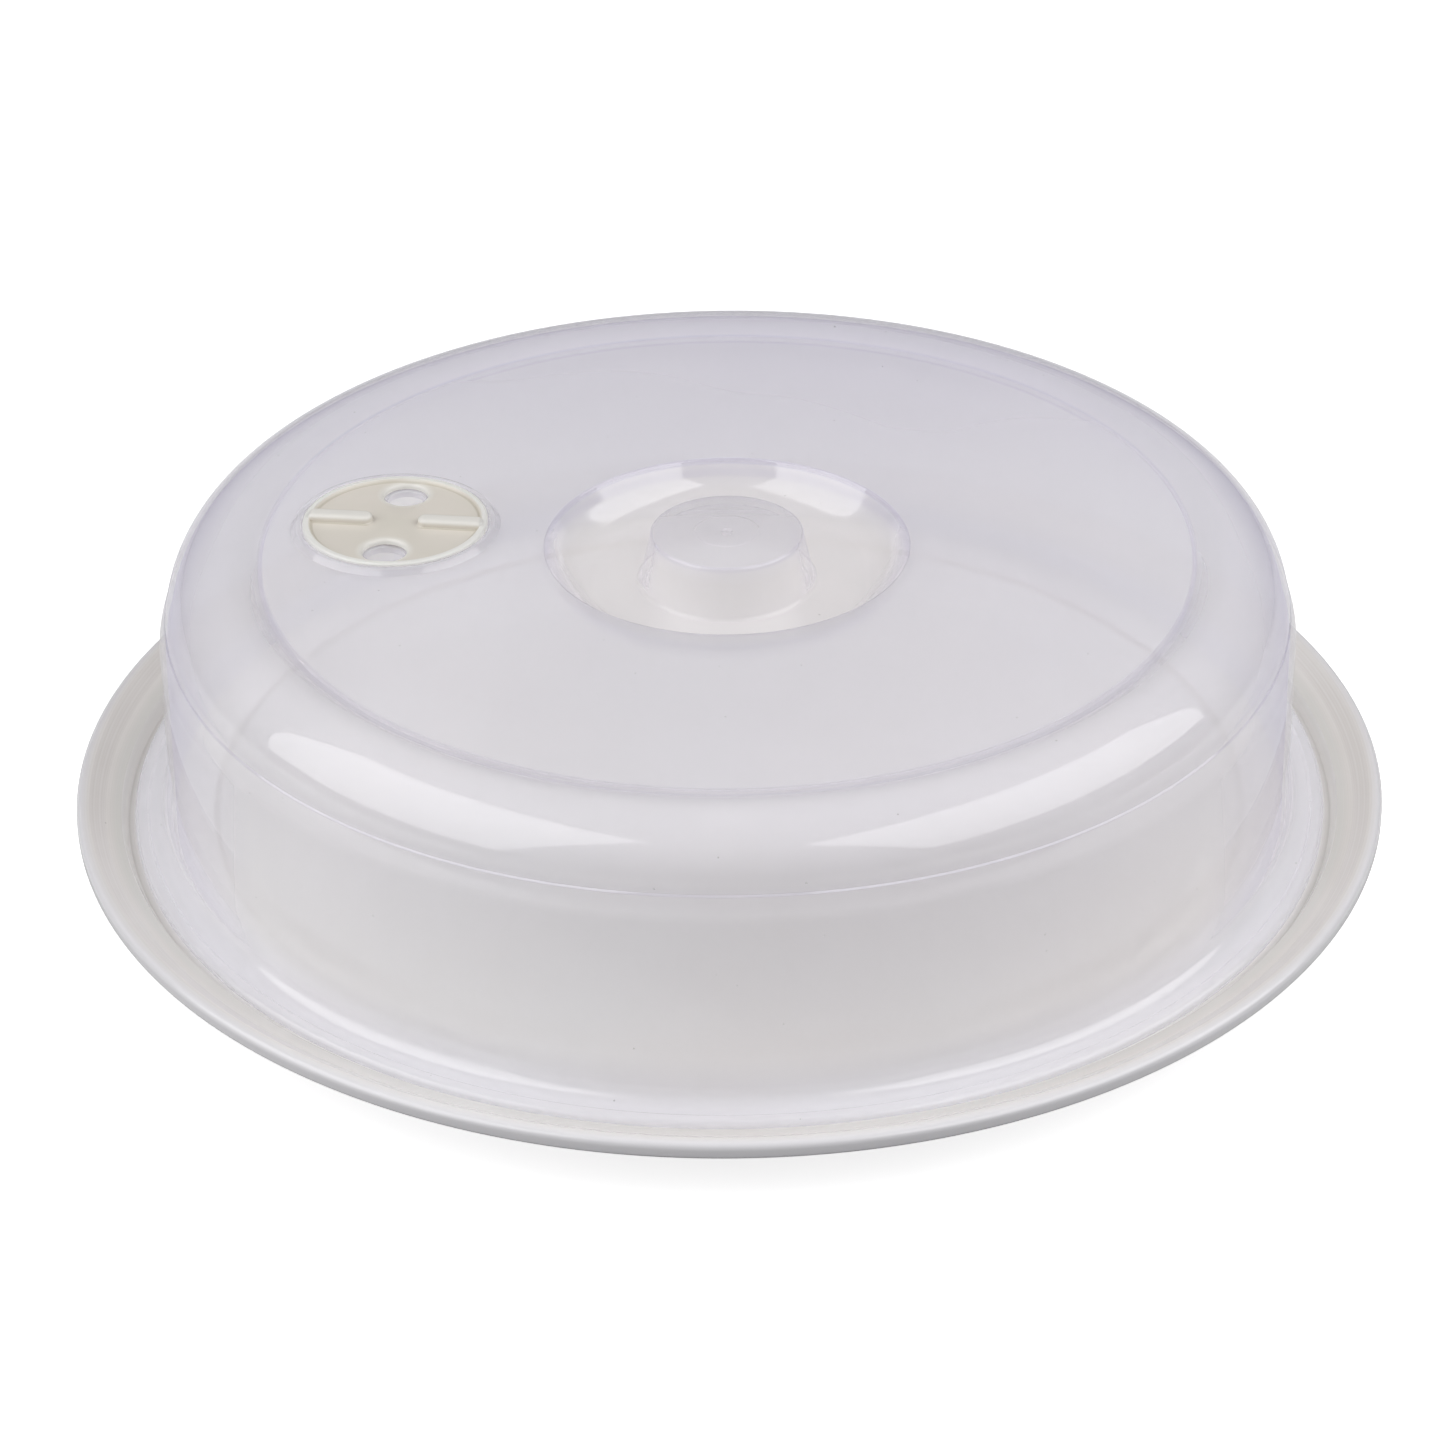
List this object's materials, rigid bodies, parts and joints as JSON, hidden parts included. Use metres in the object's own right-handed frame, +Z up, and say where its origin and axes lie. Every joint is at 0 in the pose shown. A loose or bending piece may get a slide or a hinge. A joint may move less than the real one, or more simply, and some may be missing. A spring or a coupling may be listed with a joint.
{
  "type": "vented food cover on plate",
  "caption": "Round white plate with a clear vented dome lid, a sunken finger grip in its top and a vent dial that turns to open or close its steam holes.",
  "frame": {"origin": "centre of the plate's foot ring, on the surface that the plate stands on", "axes": "+Z up along the axis of the plate and lid; the vent dial lies on the -X side, and its two ribs point along X when the vent is open"},
  "size_m": [0.3, 0.3, 0.0802],
  "materials": {
    "plate_plastic": "smooth glossy white",
    "lid_plastic": "clear, slightly milky, glossy",
    "dial_plastic": "ivory, satin to glossy"
  },
  "bodies": {
    "plate": {"plate": "plate_plastic"},
    "lid": {"dome_lid": "lid_plastic"},
    "dial": {"vent_dial": "dial_plastic"}
  },
  "joints": [
    {"name": "dome_lift", "type": "slide", "parent": "plate", "child": "lid", "axis": [0, 0, 1], "range_m": [0, 0.12]},
    {"name": "vent_turn", "type": "hinge", "parent": "lid", "child": "dial", "pos_m": [-0.0757, 0, 0.0767], "axis": [0, 0, 1], "continuous": true}
  ]
}
